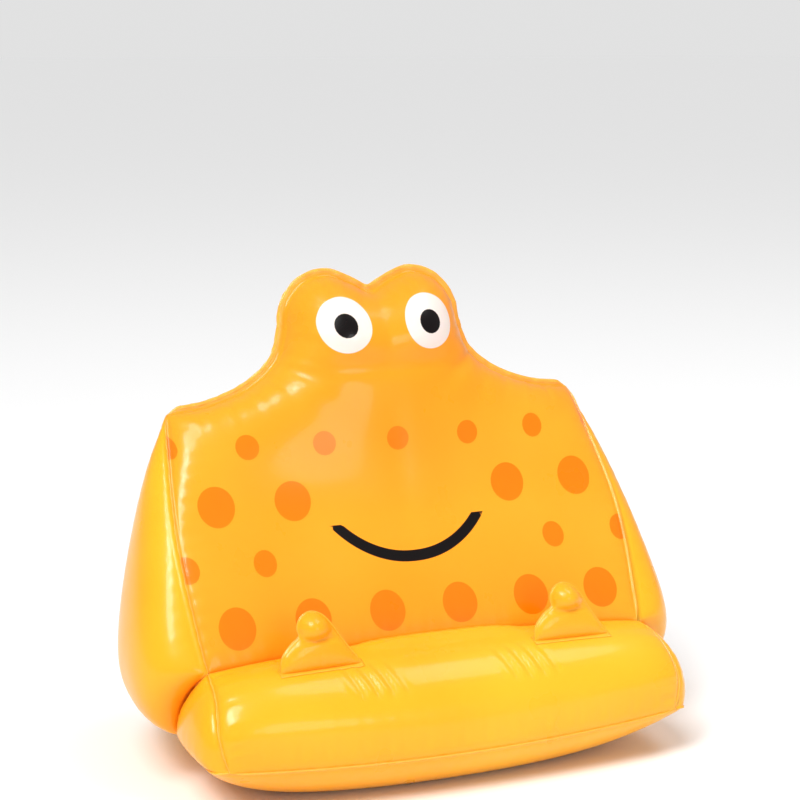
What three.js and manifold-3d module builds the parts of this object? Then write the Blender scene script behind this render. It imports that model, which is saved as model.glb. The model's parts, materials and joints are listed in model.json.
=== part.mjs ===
// Inflatable tablet and book rest shaped like a friendly monster.
// Thin film panels are welded edge to edge around an air chamber: a leaning face with two eye bumps,
// a back, two side gussets, a base and a front roll with two claws that hold the book or tablet.
// Millimetres, +Z up, the face looks towards -Y. The origin is the middle of the box's underside.
import * as THREE from 'three';
import { mergeVertices } from 'three/addons/utils/BufferGeometryUtils.js';
import Module from 'manifold-3d';

const wasm = await Module();
wasm.setup();

// Film and welds
const FILM = 0.5; // thickness of the vinyl film
const GAP = 0.3; // clearance between two pieces that touch
const EDGE_SHIFT = (FILM + GAP) / 2; // from a weld line to the middle of either film
const CREASE_SHIFT = FILM + GAP; // the same at the crease, where a web lies between the two films
const CORNER_PULL = 1.1; // how far a panel's corner stays back from the point where panels meet
const CORNER_LIP = 0.3;
const LIP = 2.5; // weld margin outside a seam
const HEAD_LIP = 4.5; // the wider margin around the head
const CREASE_LIP = 5;

// Main sizes, as half widths (x), depths (y) and heights (z)
const SEAM_Z = 30; // height of the seam around the base
const FRONT = { x: 137.5, y: -1 }; // foot of the seam between the roll and its end
const CORNER = { x: 146, y: 4 }; // front corner of the base
const SIDE = { x: 147, y: 67 }; // foot of the seam between the gusset and the roll's end
const REAR = { x: 135, y: 178 };
const CREASE = { x: 135.4, y: 44, z: 72.4, midY: 50, midZ: 76 };
const SHOULDER = { x: 132, y: 136.4, z: 201.9 };
const HEAD_SLOPE = 0.18; // the head leans back this much of its height
const SEAM_BOW = 6; // how far the seams beside the face bow outwards
const FRONT_BOW = 8;
const FRONT_SAG = 4;
const REAR_BOW = 8;

// Bulges of the inflated panels
const FACE_BULGE = 7; // a book leans here, and the tie inside keeps it nearly flat
const HEAD_BULGE = 22;
const EYE_BULGE = 6;
const BACK_BULGE = 24;
const GUSSET_BULGE = 33;
const GUSSET_HIGH = 0.65; // share of the bulge near the shoulder
const GUSSET_FORWARD = 0.5; // how far the low part of a gusset swells forwards as it swells outwards
const ROLL_BULGE = 11;
const END_BULGE = 12;
const BASE_BULGE = 40; // cut off by the flat underside at z = 0

// Claws
const CLAW_FROM = 0.375; // the claws' feet, as shares of the crease's half width
const CLAW_TO = 0.745;
const CLAW_ROW = 3; // strip of the roll that carries the claws' feet
const CLAW_STAND = 0.3; // where a claw stands on its foot, from the strip's edge near the crease
const CLAW_LEAN = THREE.MathUtils.degToRad(14);
const CLAW_LIFT = 1; // from the welded foot to the claw's film
const CLAW_LIP = 1.4;
const CLAW_DEPTH = 4.5;
const CLAW_BALL = { x: -3.5, z: 23.5, depth: 5.5, spread: 6.5 };

// Valve, on the middle of the lower back. w runs outwards along its axis.
const VALVE_Z = 95;
const VALVE = {
  flangeRadius: 13, flangeThick: 1.2, lipRadius: 5.4, skirtRadius: 7.5, skirtBore: 6.45, skirtDepth: 14,
  holeRadius: 8, stemRadius: 5, boreRadius: 3, stemDepth: 13, footRadius: 6.1, footThick: 1.5,
  collarRadius: 6.5, collarThick: 1, tabReach: 10.2, tabHalf: 2.5,
  plugRadius: 6, plugThick: 1.4, spigotRoot: 2.55, spigotTip: 1.6, spigotLength: 3.5, hinge: 9.2,
  flapRadius: 4.2, flapThick: 0.8,
};
const ROUND = 20; // sides of the valve's round pieces

const COLOURS = {
  face: 0xffae2c, film: 0xffb433, web: 0xffc766, claw: 0xff9d1c, valve: 0xfff1dc,
};

const vec = (x, y, z) => new THREE.Vector3(x, y, z);
const smooth = (value, from, to) => THREE.MathUtils.smoothstep(value, from, to);
const mix = THREE.MathUtils.lerp;

// ---------------------------------------------------------------- seams

// A seam: its curve, the direction of its weld margin, the margin's length and the shares of its length
// where both panels have a point.
function seam(points, outward, marks, lip = LIP, shift = EDGE_SHIFT) {
  return { curve: new THREE.CatmullRomCurve3(points, false, 'centripetal'), outward, marks, lip, shift };
}

function even(count) {
  return Array.from({ length: count + 1 }, (_, i) => i / count);
}

// Marks that crowd towards both ends, which divide a round section evenly.
function rounded(count) {
  return even(count).map((t) => (1 - Math.cos(Math.PI * t)) / 2);
}

function mirrored(original) {
  const flip = (p) => vec(-p.x, p.y, p.z);
  return {
    ...original,
    curve: new THREE.CatmullRomCurve3(original.curve.points.map(flip), false, 'centripetal'),
    outward: (tangent, t) => flip(original.outward(flip(tangent), t)),
  };
}

const fixed = (x, y, z) => () => vec(x, y, z);
const upright = (tangent) => vec(-tangent.z, 0, tangent.x);

const ACROSS = acrossMarks();

// Marks along the crease and the front seam: a strip as wide as each claw stays straight.
function acrossMarks() {
  const half = [0, 0.12, 0.24, CLAW_FROM, CLAW_TO, 0.86, 0.945, 1];
  const left = half.slice(1).reverse().map((share) => (1 - share) / 2);
  const right = half.map((share) => (1 + share) / 2);
  return [...left, ...right];
}

function bowed(halfWidth, y, z, bowY, bowZ) {
  return even(8).map((t) => {
    const share = 2 * t - 1;
    return vec(share * halfWidth, y - bowY * (1 - share * share), z - bowZ * (1 - share * share));
  });
}

const shoulder = vec(SHOULDER.x, SHOULDER.y, SHOULDER.z);
const creaseEnd = vec(CREASE.x, CREASE.y, CREASE.z);
const rollFoot = vec(FRONT.x, FRONT.y, SEAM_Z);
const sideFoot = vec(SIDE.x, SIDE.y, SEAM_Z);
const rearFoot = vec(REAR.x, REAR.y, SEAM_Z);

// Right half of the head's weld line, as x and z: a plain round eye bump, then the slope to the shoulder.
const HEAD_HALF = [
  [13, 274], [27, 279], [42, 275], [53, 262], [56, 246], [62, 230], [78, 216], [104, 205.5], [132, 201.9],
];
const HEAD_DIP = 268; // height of the weld line between the bumps
const HEAD = [...HEAD_HALF.map(([x, z]) => [-x, z]).reverse(), [0, HEAD_DIP], ...HEAD_HALF];
const headPoint = ([x, z]) => vec(x, SHOULDER.y + HEAD_SLOPE * (z - SHOULDER.z), z);

const faceSeam = seam(
  [creaseEnd, creaseEnd.clone().lerp(shoulder, 0.5).add(vec(SEAM_BOW, -SEAM_BOW, 0)), shoulder],
  fixed(0.7, -0.57, 0.41), even(8),
);
const endSeam = seam([creaseEnd, vec(143, 57, 54), sideFoot], fixed(1, -0.25, 0.1), even(4));
const rollSeam = seam(
  [creaseEnd, vec(138, 20, 66), vec(141, 4, 49), rollFoot], fixed(0.8, -0.5, 0.35), rounded(9), 1.6,
);
const sideSeam = seam([sideFoot, vec(143, 122, SEAM_Z), rearFoot], fixed(1, 0, -0.3), even(6));
const cornerSeam = seam(
  [rollFoot, vec(CORNER.x - 2, CORNER.y - 2, SEAM_Z), vec(CORNER.x, CORNER.y + 6, SEAM_Z), sideFoot],
  (tangent) => vec(tangent.y, -tangent.x, -0.3), even(6), 1.6,
);
const rearEdge = seam([rearFoot, vec(136, 160, 115), shoulder], fixed(0.7, 0.7, 0), even(7));

const SEAMS = {
  head: seam(HEAD.map(headPoint), upright, even(32), HEAD_LIP),
  crease: seam(
    bowed(CREASE.x, CREASE.y, CREASE.z, CREASE.y - CREASE.midY, CREASE.z - CREASE.midZ),
    fixed(0, 0, -1), ACROSS, CREASE_LIP, CREASE_SHIFT,
  ),
  front: seam(bowed(FRONT.x, FRONT.y, SEAM_Z, FRONT_BOW, FRONT_SAG), fixed(0, -0.8, -0.6), ACROSS),
  rear: seam(bowed(REAR.x, REAR.y, SEAM_Z, -REAR_BOW, 0), fixed(0, 0.9, -0.4), even(12)),
  right: {
    face: faceSeam, end: endSeam, roll: rollSeam, side: sideSeam, corner: cornerSeam, back: rearEdge,
  },
};
SEAMS.left = Object.fromEntries(
  Object.entries(SEAMS.right).map(([name, original]) => [name, mirrored(original)]),
);

// ---------------------------------------------------------------- panels

// Points of one seam on one panel's side, with the ends of the weld margin.
function seamSide(line, reversed, centre) {
  const marks = reversed ? [...line.marks].reverse() : line.marks;
  const frame = (t) => {
    const point = line.curve.getPointAt(t);
    const tangent = line.curve.getTangentAt(t);
    const hint = line.outward(tangent, t);
    const out = hint.addScaledVector(tangent, -hint.dot(tangent)).normalize();
    return { point, out, across: tangent.cross(out) };
  };
  const middle = frame(0.5);
  const sign = Math.sign(middle.across.dot(centre.clone().sub(middle.point)));
  return marks.map((t, i) => {
    const { point, out, across } = frame(t);
    const atCorner = i === 0 || i === marks.length - 1;
    const edge = atCorner
      ? point.clone().addScaledVector(centre.clone().sub(point).normalize(), CORNER_PULL)
      : point.clone().addScaledVector(across, sign * line.shift);
    return { edge, out, lip: atCorner ? CORNER_LIP : line.lip };
  });
}

function lipPoint({ edge, out, lip }) {
  return edge.clone().addScaledVector(out, lip);
}

// Closed outline of a panel from its seams. Each entry is [seam, run backwards].
function outline(entries, centre) {
  const sides = entries.map(([line, reversed]) => seamSide(line, reversed, centre));
  return sides.flatMap((side, i) => {
    const before = sides.at(i - 1).at(-1);
    const corner = { ...side[0], out: side[0].out.clone().add(before.out).normalize() };
    return [corner, ...side.slice(1, -1)];
  });
}

const RINGS = [0.3, 0.55, 0.75, 0.89, 0.97, 1];

// A panel blown out from its outline: rings around its centre, then the weld margin. A hub, if there is
// one, is the first ring: a flat circle around the centre.
function domed(edges, centre, bulge, rings = RINGS, hub = null) {
  const top = centre.clone().add(bulge(centre, 0));
  const points = [top];
  rings.forEach((r, ring) => {
    for (const { edge } of edges) {
      const point = centre.clone().lerp(edge, r);
      if (hub && ring === 0) {
        const ray = edge.clone().sub(centre).projectOnPlane(hub.normal).normalize();
        points.push(top.clone().addScaledVector(ray, hub.radius));
      } else {
        points.push(point.add(bulge(point, r)));
      }
    }
  });
  points.push(...edges.map(lipPoint));
  const triangles = [];
  const count = edges.length;
  for (let i = 0; i < count; i += 1) {
    const next = (i + 1) % count;
    triangles.push([0, 1 + i, 1 + next]);
    for (let ring = 0; ring < rings.length; ring += 1) {
      const a = 1 + ring * count;
      const b = a + count;
      triangles.push([a + i, b + i, b + next], [a + i, b + next, a + next]);
    }
  }
  return { points, triangles };
}

function grid(rows) {
  const width = rows[0].length;
  const triangles = [];
  for (let j = 0; j < rows.length - 1; j += 1) {
    for (let i = 0; i < width - 1; i += 1) {
      const a = j * width + i;
      const b = a + width;
      triangles.push([a, a + 1, b + 1], [a, b + 1, b]);
    }
  }
  return { points: rows.flat(), triangles };
}

// A closed solid from a sheet: both faces at half the thickness, and walls along the open edges.
function thickened({ points, triangles }, thickness = FILM) {
  const normals = points.map(() => vec(0, 0, 0));
  const borders = new Map();
  for (const [a, b, c] of triangles) {
    const normal = points[b].clone().sub(points[a]).cross(points[c].clone().sub(points[a])).normalize();
    for (const i of [a, b, c]) normals[i].add(normal);
    for (const [from, to] of [[a, b], [b, c], [c, a]]) {
      if (!borders.delete(`${to} ${from}`)) borders.set(`${from} ${to}`, [from, to]);
    }
  }
  normals.forEach((normal) => normal.normalize());
  const count = points.length;
  const side = (sign) => points.map((p, i) => p.clone().addScaledVector(normals[i], sign * thickness / 2));
  const index = [];
  for (const [a, b, c] of triangles) {
    index.push(a, b, c, count + a, count + c, count + b);
  }
  for (const [from, to] of borders.values()) {
    index.push(to, from, count + from, to, count + from, count + to);
  }
  const positions = [...side(1), ...side(-1)].flatMap((p) => p.toArray());
  const geometry = new THREE.BufferGeometry();
  geometry.setAttribute('position', new THREE.Float32BufferAttribute(positions, 3));
  geometry.setIndex(index);
  return geometry;
}

const material = (colour, roughness) => new THREE.MeshStandardMaterial({
  color: colour, roughness, metalness: 0, side: THREE.DoubleSide,
});

function piece(name, geometry, colour, roughness = 0.3) {
  const mesh = new THREE.Mesh(geometry, material(colour, roughness));
  mesh.name = name;
  return mesh;
}

const dome = (r, power, blunt) => Math.max(0, 1 - r ** power) ** blunt;

function facePanel() {
  const centre = vec(0, 108, 162);
  const edges = outline([
    [SEAMS.crease, false], [SEAMS.right.face, false], [SEAMS.head, true], [SEAMS.left.face, true],
  ], centre);
  const leaning = vec(0, -0.81, 0.58);
  const standing = vec(0, -0.98, 0.18);
  return domed(edges, centre, (p, r) => {
    const eyes = Math.exp(-((Math.abs(p.x) - 28) ** 2 + (p.z - 252) ** 2) / 700);
    const pushed = mix(FACE_BULGE, HEAD_BULGE, smooth(p.z, 145, 235)) + EYE_BULGE * eyes;
    const height = pushed * dome(r, 3, 0.55);
    return leaning.clone().lerp(standing, smooth(p.z, 190, 240)).multiplyScalar(height);
  });
}

const backCentre = vec(0, 163, VALVE_Z);
const backNormal = vec(0, 0.97, 0.24).normalize();

function backPanel() {
  const edges = outline([
    [SEAMS.rear, false], [SEAMS.right.back, false], [SEAMS.head, true], [SEAMS.left.back, true],
  ], backCentre);
  const bulge = (p, r) => backNormal.clone().multiplyScalar(BACK_BULGE * dome(r, 2.6, 0.6));
  return domed(edges, backCentre, bulge, [0, 0.4, ...RINGS.slice(1)], { radius: 17, normal: backNormal });
}

function gussetPanel(side) {
  const lines = SEAMS[side];
  const sign = side === 'left' ? -1 : 1;
  const centre = vec(sign * 139, 112, 92);
  const edges = outline([
    [lines.face, true], [lines.end, false], [lines.side, false], [lines.back, false],
  ], centre);
  const bulge = (p, r) => {
    const low = smooth(-p.z, -170, -50);
    const height = GUSSET_BULGE * mix(GUSSET_HIGH, 1, low) * dome(r, 2.6, 0.55);
    return vec(sign, -GUSSET_FORWARD * low, 0).multiplyScalar(height);
  };
  return domed(edges, centre, bulge, [0.35, 0.65, 0.87, 0.97, 1]);
}

function endPanel(side) {
  const lines = SEAMS[side];
  const sign = side === 'left' ? -1 : 1;
  const centre = vec(sign * 142, 36, 46);
  const edges = outline([[lines.roll, false], [lines.corner, false], [lines.end, true]], centre);
  const bulge = (p, r) => vec(sign, -0.2, 0).multiplyScalar(END_BULGE * dome(r, 2, 0.6));
  return domed(edges, centre, bulge, [0.5, 0.85, 1]);
}

function basePanel() {
  const centre = vec(0, 90, SEAM_Z);
  const edges = outline([
    [SEAMS.front, false], [SEAMS.right.corner, false], [SEAMS.right.side, false],
    [SEAMS.rear, true], [SEAMS.left.side, true], [SEAMS.left.corner, true],
  ], centre);
  return domed(edges, centre, (p, r) => {
    const drop = Math.min(p.z, BASE_BULGE * dome(r, 2.4, 0.7));
    return vec(0, 0, -drop);
  }, [0.4, 0.66, 0.82, 0.93, 1]);
}

// The roll: a strip that bends between its four seams and swells over its whole length.
function rollRows() {
  const centre = vec(0, 0, 60);
  const [back, front] = [SEAMS.crease, SEAMS.front].map((line) => seamSide(line, false, centre));
  const [left, right] = [SEAMS.left.roll, SEAMS.right.roll].map((line) => seamSide(line, false, centre));
  const swell = vec(0, -0.646, 0.763);
  const rows = rollSeam.marks.map((v, j) => ACROSS.map((u, i) => {
    const between = back[i].edge.clone().lerp(front[i].edge, v);
    const ends = left[j].edge.clone().lerp(right[j].edge, u);
    const corners = back[0].edge.clone().lerp(back.at(-1).edge, u)
      .lerp(front[0].edge.clone().lerp(front.at(-1).edge, u), v);
    const height = ROLL_BULGE * dome(Math.abs(2 * u - 1), 7, 0.5) * dome(Math.abs(2 * v - 1), 2, 0.5);
    return between.add(ends).sub(corners).addScaledVector(swell, height);
  }));
  return { rows, back, front, left, right };
}

function rollPanel({ rows, back, front, left, right }) {
  const rowEnds = (j) => [left[j], right[j]].map(lipPoint);
  const full = rows.map((row, j) => {
    const [from, to] = rowEnds(j);
    return [from, ...row, to];
  });
  const margin = (side, row) => {
    const lips = side.map((point, i) => row[i].clone().addScaledVector(point.out, point.lip));
    const first = lips[0].clone().addScaledVector(left[0].out, CORNER_LIP);
    const last = lips.at(-1).clone().addScaledVector(right[0].out, CORNER_LIP);
    return [first, ...lips, last];
  };
  return grid([margin(back, rows[0]), ...full, margin(front, rows.at(-1))]);
}

// ---------------------------------------------------------------- webs inside

function hitDistance(mesh, origin, direction) {
  const hits = new THREE.Raycaster(origin, direction).intersectObject(mesh);
  return hits[0].distance;
}

// Web under the crease: it holds the crease down against the base.
function creaseWeb(base) {
  const reach = 0.8;
  const clearance = 2 * GAP;
  const marks = ACROSS.filter((u) => Math.abs(2 * u - 1) < reach);
  const rows = [[], [], []];
  for (const u of marks) {
    const top = SEAMS.crease.curve.getPointAt(u).add(vec(0, 0, -1));
    const drop = hitDistance(base, top, vec(0, 0, -1)) - clearance;
    [0, 0.5, 1].forEach((share, i) => rows[i].push(top.clone().add(vec(0, 0, -share * drop))));
  }
  return thickened(grid(rows));
}

// Upright web in the middle: it ties the face to the back, so that the face stays flat enough.
function centreTie(face, back) {
  const low = 122;
  const high = 186;
  const clearance = 4 * GAP;
  const depth = 150;
  const edges = [[], []];
  for (const share of even(6)) {
    const from = vec(0.01, depth, mix(low, high, share));
    const forward = hitDistance(face, from, vec(0, -1, 0)) - clearance;
    const backward = hitDistance(back, from, vec(0, 1, 0)) - clearance;
    edges[0].push(from.clone().add(vec(0, -forward, 0)));
    edges[1].push(from.clone().add(vec(0, backward, 0)));
  }
  return thickened(grid(edges));
}

// ---------------------------------------------------------------- claws

// Outline of a claw over its foot, as x and z: a hooked tip, a notch on one side, a long slope opposite.
const CLAW = [
  [24, CLAW_LIFT], [17, 8.5], [11.5, 17], [7.5, 23.5], [2.5, 29], [-4, 31], [-9.5, 28], [-11.6, 22.8],
  [-11, 18.2], [-16, 14.3], [-22, 7.6], [-24, CLAW_LIFT],
];
const CLAW_MIDDLE = vec(-2, 0, 12.6);

function clawEdges() {
  const curve = new THREE.CatmullRomCurve3(CLAW.map(([x, z]) => vec(x, 0, z)), false, 'centripetal');
  const rim = even(20).map((t) => {
    const tangent = curve.getTangentAt(t);
    return { edge: curve.getPointAt(t), out: vec(tangent.z, 0, -tangent.x), lip: CLAW_LIP };
  });
  const down = fixed(0, 0, -1);
  for (const end of [rim[0], rim.at(-1)]) Object.assign(end, { out: down(), lip: 0.2 });
  const foot = [-0.5, 0, 0.5].map((share) => (
    { edge: vec(share * CLAW[0][0], 0, CLAW_LIFT), out: down(), lip: 0.2 }
  ));
  return [...rim, ...foot];
}

function clawHalf(sign) {
  const shift = vec(0, sign * EDGE_SHIFT, 0);
  const edges = clawEdges().map((point) => ({ ...point, edge: point.edge.clone().add(shift) }));
  const bulge = (p, r) => {
    const fromBall = (p.x - CLAW_BALL.x) ** 2 + (p.z - CLAW_BALL.z) ** 2;
    const ball = CLAW_BALL.depth * Math.exp(-fromBall / (2 * CLAW_BALL.spread ** 2));
    return vec(0, sign * (CLAW_DEPTH + ball) * dome(r, 2.5, 0.5), 0);
  };
  return thickened(domed(edges, CLAW_MIDDLE.clone().add(shift), bulge, [0.35, 0.65, 0.88, 1]));
}

// The four corners of the straight strip of the roll that carries a claw.
function clawCell(rows, side) {
  const [from, to] = side === 'left' ? [-CLAW_TO, -CLAW_FROM] : [CLAW_FROM, CLAW_TO];
  const column = (share) => ACROSS.findIndex((u) => Math.abs(2 * u - 1 - share) < 1e-6);
  const at = (share, s) => rows[CLAW_ROW][column(share)].clone()
    .lerp(rows[CLAW_ROW + 1][column(share)], s);
  return (u, s) => at(from, s).lerp(at(to, s), u);
}

function clawFoot(cell) {
  const rows = [0.14, 0.86].map((s) => even(4).map((t) => cell(mix(0.02, 0.98, t), s)));
  const across = rows[0][4].clone().sub(rows[0][0]);
  const down = rows[1][0].clone().sub(rows[0][0]);
  const normal = down.cross(across).normalize();
  if (normal.z < 0) normal.negate();
  rows.flat().forEach((point) => point.addScaledVector(normal, FILM + GAP));
  return { geometry: thickened(grid(rows)), normal };
}

function claw(side, rows) {
  const cell = clawCell(rows, side);
  const { geometry, normal } = clawFoot(cell);
  const along = cell(1, 0.5).sub(cell(0, 0.5)).normalize();
  const up = vec(0, Math.sin(CLAW_LEAN), Math.cos(CLAW_LEAN));
  up.addScaledVector(along, -up.dot(along)).normalize();
  const body = new THREE.Group();
  body.add(
    piece(`claw_${side}_front`, clawHalf(-1), COLOURS.claw),
    piece(`claw_${side}_back`, clawHalf(1), COLOURS.claw),
  );
  body.quaternion.setFromRotationMatrix(
    new THREE.Matrix4().makeBasis(along, up.clone().cross(along), up),
  );
  body.position.copy(cell(0.5, CLAW_STAND)).addScaledVector(normal, FILM * 1.5 + GAP);
  const group = new THREE.Group();
  group.add(piece(`claw_${side}_foot`, geometry, COLOURS.claw), body);
  return group;
}

// ---------------------------------------------------------------- valve

// A round piece about the valve's axis from its profile of [radius, w].
function turned(profile) {
  const points = [...profile, profile[0]].map(([radius, w]) => new THREE.Vector2(radius, w));
  const geometry = new THREE.LatheGeometry(points, ROUND);
  geometry.rotateX(Math.PI / 2);
  return closed(geometry);
}

function closed(geometry) {
  geometry.deleteAttribute('normal');
  geometry.deleteAttribute('uv');
  return mergeVertices(geometry, 1e-4);
}

function solid(geometry) {
  const clean = closed(geometry.clone());
  return new wasm.Manifold(new wasm.Mesh({
    numProp: 3,
    vertProperties: Float32Array.from(clean.attributes.position.array),
    triVerts: Uint32Array.from(clean.index.array),
  }));
}

function fromSolid(result) {
  const { vertProperties, triVerts } = result.getMesh();
  const geometry = new THREE.BufferGeometry();
  geometry.setAttribute('position', new THREE.BufferAttribute(Float32Array.from(vertProperties), 3));
  geometry.setIndex(new THREE.BufferAttribute(Uint32Array.from(triVerts), 1));
  return geometry;
}

function box(from, to) {
  const size = to.clone().sub(from);
  const geometry = new THREE.BoxGeometry(size.x, size.y, size.z);
  const middle = from.clone().add(to).multiplyScalar(0.5);
  return geometry.translate(middle.x, middle.y, middle.z);
}

function valveFlange() {
  const v = VALVE;
  return turned([
    [v.skirtBore, 0.1], [v.skirtBore, -v.skirtDepth], [v.skirtRadius, -v.skirtDepth], [v.skirtRadius, 0],
    [v.flangeRadius - 0.4, 0], [v.flangeRadius, 0.3], [v.flangeRadius, v.flangeThick],
    [v.lipRadius, v.flangeThick], [v.lipRadius, 0.6],
  ]);
}

const collarTop = VALVE.flangeThick + GAP + VALVE.collarThick;

// The stem: a tube with a foot that stays inside the skirt, and a collar with the plug's hinge tab.
function valveStem() {
  const v = VALVE;
  const under = v.flangeThick + GAP;
  const tube = turned([
    [v.footRadius, -v.stemDepth], [v.footRadius, -v.stemDepth + v.footThick],
    [v.stemRadius, -v.stemDepth + v.footThick], [v.stemRadius, under], [v.collarRadius, under],
    [v.collarRadius, collarTop], [v.boreRadius, collarTop], [v.boreRadius, -v.stemDepth],
  ]);
  const tab = box(
    vec(-v.tabHalf, v.collarRadius - 1, under), vec(v.tabHalf, v.tabReach, collarTop),
  );
  return fromSolid(solid(tube).add(solid(tab)));
}

// The plug: a cap and a spigot that fits the bore, with a strap that bends over the stem's tab.
function valvePlug() {
  const v = VALVE;
  const under = collarTop + GAP;
  const cap = turned([
    [0, under - v.spigotLength], [v.spigotTip, under - v.spigotLength], [v.spigotRoot, under],
    [v.plugRadius, under], [v.plugRadius, under + v.plugThick - 0.3],
    [v.plugRadius - 0.3, under + v.plugThick], [0, under + v.plugThick],
  ]);
  const strap = box(
    vec(-v.tabHalf, v.plugRadius - 1, under),
    vec(v.tabHalf, v.hinge + v.plugThick / 4, under + v.plugThick / 2),
  );
  return fromSolid(solid(cap).add(solid(strap)));
}

// The check flap that closes the bore from inside.
function valveFlap() {
  const v = VALVE;
  const top = -v.stemDepth - GAP;
  return turned([[0, top - v.flapThick], [v.flapRadius, top - v.flapThick], [v.flapRadius, top], [0, top]]);
}

function valve() {
  const group = new THREE.Group();
  group.add(
    piece('valve_flange', valveFlange(), COLOURS.valve, 0.45),
    piece('valve_stem', valveStem(), COLOURS.valve, 0.45),
    piece('valve_plug', valvePlug(), COLOURS.valve, 0.45),
    piece('valve_flap', valveFlap(), COLOURS.valve, 0.45),
  );
  const turn = new THREE.Quaternion().setFromUnitVectors(vec(0, 0, 1), backNormal);
  group.quaternion.copy(turn);
  group.position.copy(backCentre).addScaledVector(backNormal, BACK_BULGE + FILM / 2 + GAP);
  return group;
}

function valveHole() {
  const geometry = new THREE.CylinderGeometry(VALVE.holeRadius, VALVE.holeRadius, 10, ROUND);
  geometry.rotateX(Math.PI / 2);
  geometry.applyQuaternion(new THREE.Quaternion().setFromUnitVectors(vec(0, 0, 1), backNormal));
  const middle = backCentre.clone().addScaledVector(backNormal, BACK_BULGE);
  return geometry.translate(middle.x, middle.y, middle.z);
}

// ---------------------------------------------------------------- assembly

function buildRest() {
  const roll = rollRows();
  const face = piece('face_panel', thickened(facePanel()), COLOURS.face);
  const back = piece('back_panel', thickened(backPanel()), COLOURS.film);
  const base = piece('base_panel', thickened(basePanel()), COLOURS.film);
  const model = new THREE.Group();
  model.add(face, base);
  model.add(piece('roll_panel', thickened(rollPanel(roll)), COLOURS.film));
  model.add(piece('crease_web', creaseWeb(base), COLOURS.web));
  model.add(piece('centre_tie_web', centreTie(face, back), COLOURS.web));
  const pierced = fromSolid(solid(back.geometry).subtract(solid(valveHole())));
  model.add(piece('back_panel', pierced, COLOURS.film), valve());
  for (const side of ['left', 'right']) {
    model.add(
      piece(`gusset_${side}`, thickened(gussetPanel(side)), COLOURS.film),
      piece(`roll_end_${side}`, thickened(endPanel(side)), COLOURS.film),
      claw(side, roll.rows),
    );
  }
  return model;
}

// The model stands on z = 0 with the middle of its box over the origin.
function centred(model) {
  const bounds = new THREE.Box3().setFromObject(model, true);
  const middle = bounds.getCenter(new THREE.Vector3());
  model.position.set(-middle.x, -middle.y, -bounds.min.z);
  const group = new THREE.Group();
  group.add(model);
  return group;
}

export default centred(buildRest());
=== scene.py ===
"""Inflatable tablet and book rest with a plain smiling face, in glossy printed vinyl film.

Each panel of film is cut to its weld lines, blown out by air and puckered beside its welds. Sizes are in
millimetres from the object's own origin, and become metres in the frame when a piece is made.
"""

import copy
import json
import math

import bmesh
import bpy
import numpy as np
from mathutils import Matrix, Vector
from mathutils.bvhtree import BVHTree
from mathutils.geometry import delaunay_2d_cdt


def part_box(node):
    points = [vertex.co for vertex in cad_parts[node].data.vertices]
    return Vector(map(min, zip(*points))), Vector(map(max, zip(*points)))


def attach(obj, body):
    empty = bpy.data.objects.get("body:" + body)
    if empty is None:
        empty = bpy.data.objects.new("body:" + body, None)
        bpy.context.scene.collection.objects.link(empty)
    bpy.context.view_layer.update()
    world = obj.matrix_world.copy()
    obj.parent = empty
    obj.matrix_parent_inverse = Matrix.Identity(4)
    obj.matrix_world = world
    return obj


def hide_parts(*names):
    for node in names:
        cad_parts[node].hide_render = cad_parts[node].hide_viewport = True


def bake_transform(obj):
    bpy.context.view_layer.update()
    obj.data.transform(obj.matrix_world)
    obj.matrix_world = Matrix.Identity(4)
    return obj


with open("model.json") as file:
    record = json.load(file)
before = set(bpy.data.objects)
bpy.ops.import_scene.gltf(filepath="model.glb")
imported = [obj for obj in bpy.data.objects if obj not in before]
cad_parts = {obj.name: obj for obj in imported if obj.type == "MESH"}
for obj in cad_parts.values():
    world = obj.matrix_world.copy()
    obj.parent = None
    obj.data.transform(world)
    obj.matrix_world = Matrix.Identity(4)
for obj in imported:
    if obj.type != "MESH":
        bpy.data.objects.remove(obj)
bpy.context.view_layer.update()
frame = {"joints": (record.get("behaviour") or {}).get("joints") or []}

# ---------------------------------------------------------------- sizes

FILM = 0.3
EDGE_SHIFT = 0.2  # from a weld line to either film
CREASE_SHIFT = 0.6
CORNER_PULL = 0.5
LIP = 2.0  # weld margin outside a seam
FRONT_LIP = 1.2
HEAD_LIP = 4.6
CREASE_LIP = 4.0
SEAM_STEP = 2.4
MARGIN_SHARES = (0.5, 1)  # how far out the two rows of a weld's margin lie
TAPER = 0.15  # share of margin and puckers that is left at a seam's ends
TAPER_LENGTH = 9
RIPPLE_LENGTH = 11
PUCKER_LENGTH = 9.5
PUCKER_DEPTH = 2.2
PUCKER_RISE = 1.6  # distances from the weld over which puckers grow and die away
PUCKER_FADE = 8

SEAM_Z = 30
CREASE_END = (135.4, 44, 72.4)
SHOULDER = (132, 136.4, 201.9)
ROLL_FOOT = (137.5, -1, SEAM_Z)
SIDE_FOOT = (147, 67, SEAM_Z)
REAR_FOOT = (135, 178, SEAM_Z)
CREASE_BOW = 6  # the crease's middle lies this far behind its ends
HEAD_SLOPE = 0.18
HEAD_HALF = [
    (13, 274), (27, 279), (42, 275), (53, 262), (56, 246), (62, 230), (78, 216), (104, 205.5),
    (132, 201.9),
]
HEAD_DIP = 268  # height of the weld line between the eye bumps
HEAD = [(-x, z) for x, z in reversed(HEAD_HALF)] + [(0, HEAD_DIP)] + HEAD_HALF

FACE_LOW = 5  # bulge of the part that a book leans on
FACE_HIGH = 23
HEAD_BULGE = 7
EYE_BULGE = 6
BACK_BULGE = 26
GUSSET_BULGE = 36
END_BULGE = 14
BASE_BULGE = 48
ROLL_BULGE = 11

VALVE_CENTRE = np.array((0, 163, 95.0))
VALVE_AXIS = np.array((0, 0.97, 0.24)) / math.hypot(0.97, 0.24)
VALVE_SEAT = 24.4  # height of the film under the valve's flange

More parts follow.
